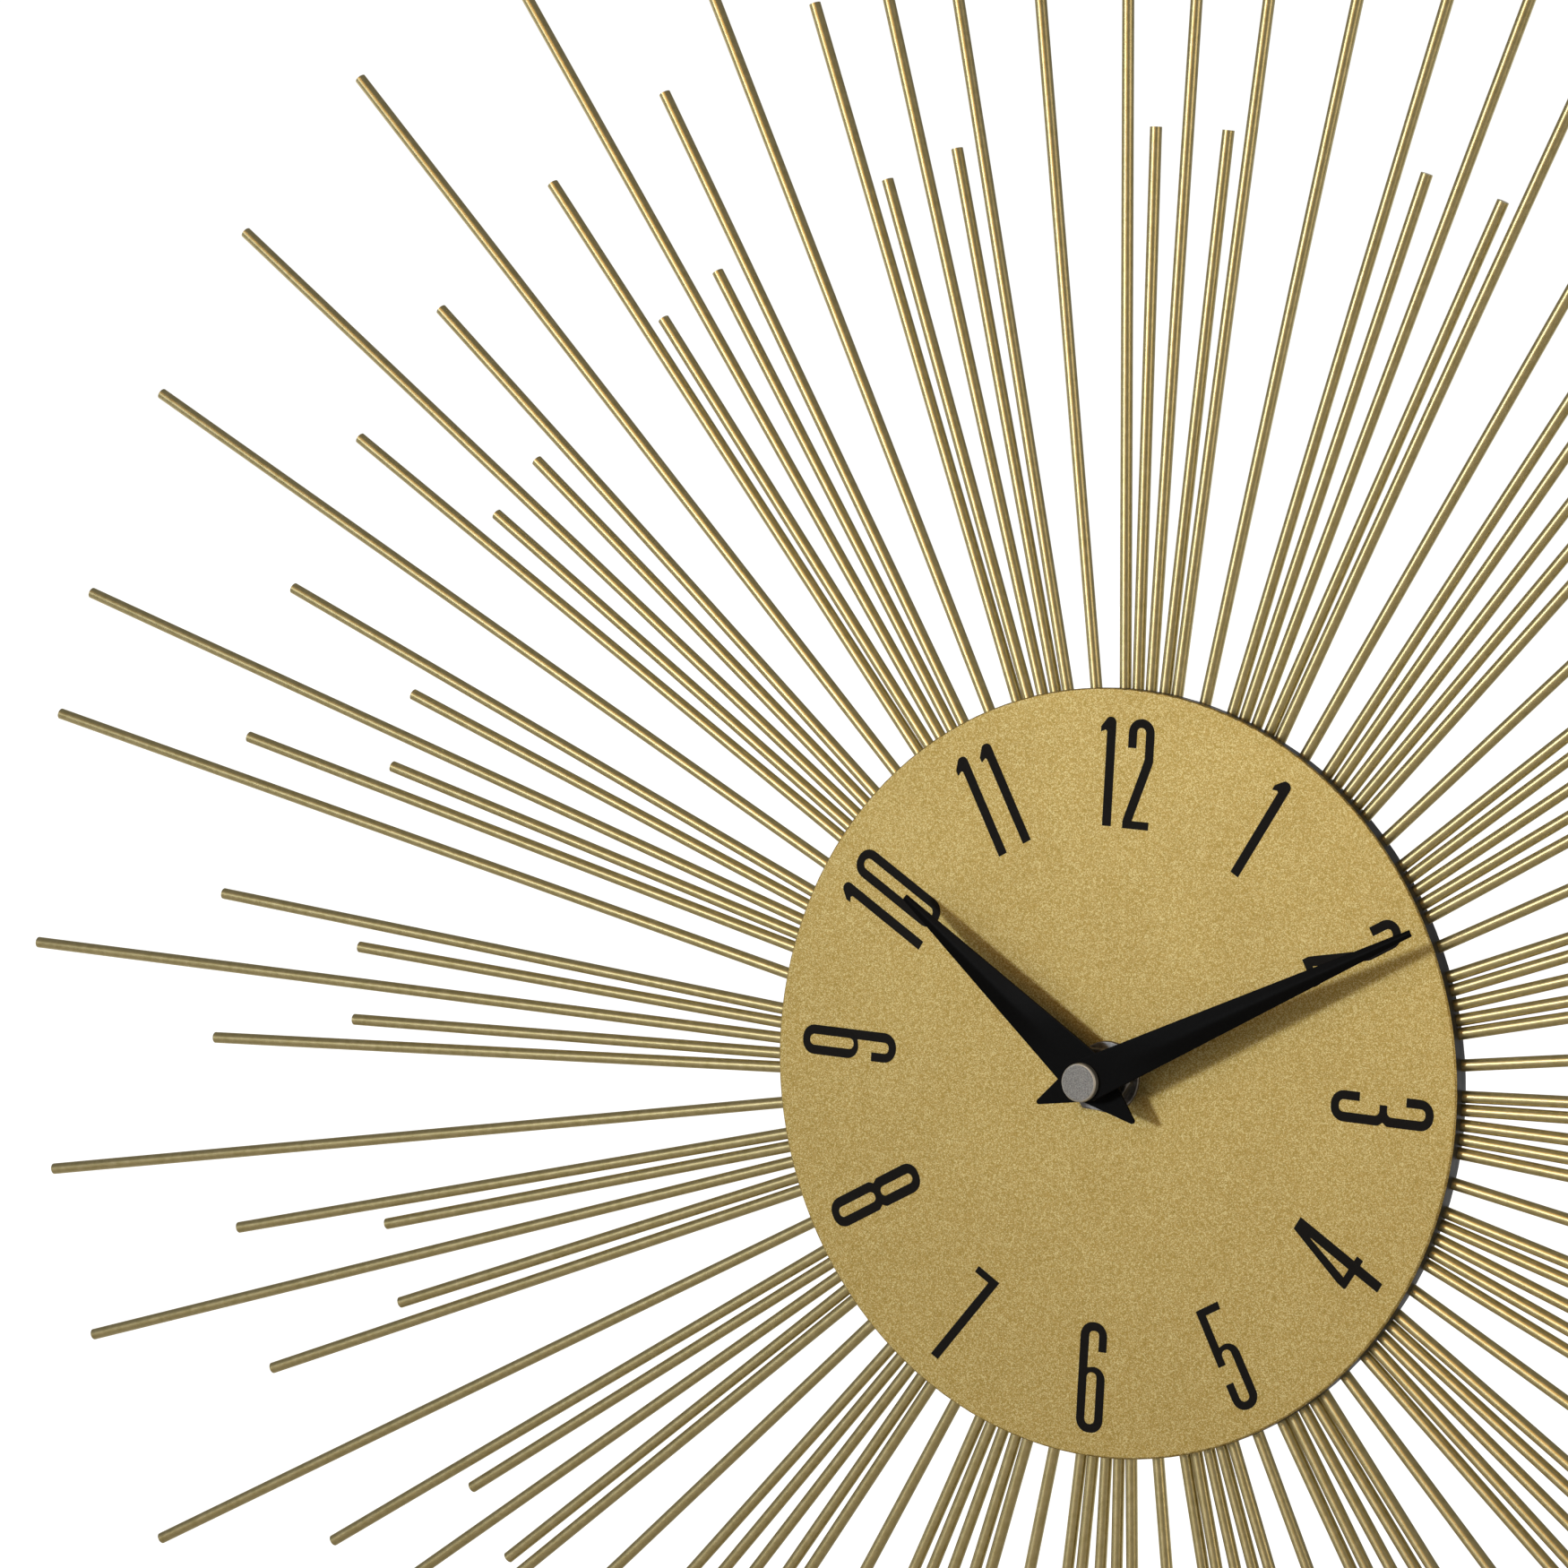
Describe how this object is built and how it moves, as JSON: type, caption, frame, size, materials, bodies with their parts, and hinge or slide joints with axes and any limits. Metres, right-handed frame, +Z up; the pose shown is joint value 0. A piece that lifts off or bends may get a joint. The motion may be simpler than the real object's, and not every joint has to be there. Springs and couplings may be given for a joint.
{
  "type": "sunburst wall clock",
  "caption": "Round wall clock: a printed dial in front of fans of thin straight rods, two hands, and a battery quartz movement with a hanging tab behind it.",
  "frame": {"origin": "where the hands' axis meets the wall, on the rear face of the movement's cover", "axes": "+Y into the wall, along the hands' axis; +Z up, towards twelve; +X to the reader's right, towards three"},
  "size_m": [0.4612, 0.0326, 0.4615],
  "materials": {
    "rod_paint": "satin antique gold",
    "dial_paint": "metallic gold",
    "black_paint": "satin black",
    "hand_paint": "satin black",
    "zinc_steel": "zinc plated",
    "satin_nickel": "satin nickel plated",
    "soft_iron": "ground",
    "ferrite": "sintered",
    "nickel_can": "drawn can",
    "spring_nickel": "nickel plated",
    "brass": "turned",
    "enamelled_copper": "wound enamelled wire",
    "rubber": "matte",
    "case_plastic": "fine spark texture",
    "frame_plastic": "moulded",
    "knob_plastic": "moulded",
    "gear_white": "moulded acetal",
    "gear_black": "moulded acetal",
    "gear_red": "moulded acetal",
    "bobbin_plastic": "moulded",
    "board_laminate": "solder mask",
    "epoxy": "cast resin",
    "cell_label": "printed film over a steel can"
  },
  "bodies": {
    "frame": {"ray_sector_01": "rod_paint", "ray_sector_02": "rod_paint", "ray_sector_03": "rod_paint", "ray_sector_04": "rod_paint", "ray_sector_05": "rod_paint", "ray_sector_06": "rod_paint", "ray_sector_07": "rod_paint", "ray_sector_08": "rod_paint", "ray_sector_09": "rod_paint", "ray_sector_10": "rod_paint", "ray_sector_11": "rod_paint", "ray_sector_12": "rod_paint", "ray_sector_13": "rod_paint", "ray_sector_14": "rod_paint", "ray_sector_15": "rod_paint", "ray_sector_16": "rod_paint", "ray_sector_17": "rod_paint", "ray_sector_18": "rod_paint", "ray_sector_19": "rod_paint", "ray_sector_20": "rod_paint", "dial_plate": "dial_paint", "backing_plate": "black_paint", "spacer_ring": "zinc_steel", "gasket": "rubber", "threaded_bushing": "brass", "dial_washer": "zinc_steel", "hex_nut": "zinc_steel", "middle_plate": "frame_plastic", "train_bridge": "frame_plastic", "stator": "soft_iron", "coil_core": "soft_iron", "coil_bobbin": "bobbin_plastic", "coil_winding": "enamelled_copper", "core_screws": "zinc_steel", "circuit_board": "board_laminate", "quartz_crystal": "nickel_can", "driver_chip": "epoxy", "battery_contact": "spring_nickel", "battery_spring": "spring_nickel", "movement_case": "case_plastic", "rear_cover": "case_plastic"},
    "minute": {"minute_hand": "hand_paint", "cap_nut": "satin_nickel", "minute_spindle": "gear_white", "centre_wheel": "gear_black"},
    "hour": {"hour_hand": "hand_paint", "hour_wheel": "gear_white"},
    "motion": {"motion_wheel": "gear_white"},
    "setting": {"setting_knob": "knob_plastic"},
    "third": {"third_wheel": "gear_white"},
    "seconds": {"seconds_wheel": "gear_white"},
    "intermediate": {"intermediate_wheel": "gear_red"},
    "rotor": {"rotor_pinion": "gear_white", "rotor_magnet": "ferrite"},
    "battery": {"battery_cell": "cell_label"}
  },
  "joints": [
    {"name": "minute_hand_turn", "type": "hinge", "parent": "frame", "child": "minute", "pos_m": [0, -0.02, 0], "axis": [0, 1, 0], "continuous": true},
    {"name": "hour_hand_turn", "type": "hinge", "parent": "frame", "child": "hour", "pos_m": [0, -0.02, 0], "axis": [0, 1, 0], "continuous": true},
    {"name": "motion_wheel_turn", "type": "hinge", "parent": "frame", "child": "motion", "pos_m": [-0.00742, -0.0134, 0.00742], "axis": [0, 1, 0], "continuous": true},
    {"name": "setting_knob_turn", "type": "hinge", "parent": "frame", "child": "setting", "pos_m": [-0.01652, -0.008, 0.01267], "axis": [0, 1, 0], "continuous": true},
    {"name": "third_wheel_turn", "type": "hinge", "parent": "frame", "child": "third", "pos_m": [0.01015, -0.01, 0.00369], "axis": [0, 1, 0], "continuous": true},
    {"name": "seconds_wheel_turn", "type": "hinge", "parent": "frame", "child": "seconds", "pos_m": [0, -0.009, 0], "axis": [0, 1, 0], "continuous": true},
    {"name": "intermediate_wheel_turn", "type": "hinge", "parent": "frame", "child": "intermediate", "pos_m": [0, -0.008, 0.0072], "axis": [0, 1, 0], "continuous": true},
    {"name": "rotor_turn", "type": "hinge", "parent": "frame", "child": "rotor", "pos_m": [0.0035, -0.007, 0.01326], "axis": [0, 1, 0], "continuous": true},
    {"name": "battery_slide", "type": "slide", "parent": "frame", "child": "battery", "axis": [0, 1, 0], "range_m": [0, 0.018]}
  ],
  "couplings": [
    {"joint": "hour_hand_turn", "follows": "minute_hand_turn", "ratio": 0.083333},
    {"joint": "motion_wheel_turn", "follows": "minute_hand_turn", "ratio": -0.33333},
    {"joint": "setting_knob_turn", "follows": "minute_hand_turn", "ratio": 1},
    {"joint": "third_wheel_turn", "follows": "minute_hand_turn", "ratio": -8},
    {"joint": "seconds_wheel_turn", "follows": "minute_hand_turn", "ratio": 60},
    {"joint": "intermediate_wheel_turn", "follows": "minute_hand_turn", "ratio": -300},
    {"joint": "rotor_turn", "follows": "minute_hand_turn", "ratio": 1800}
  ]
}
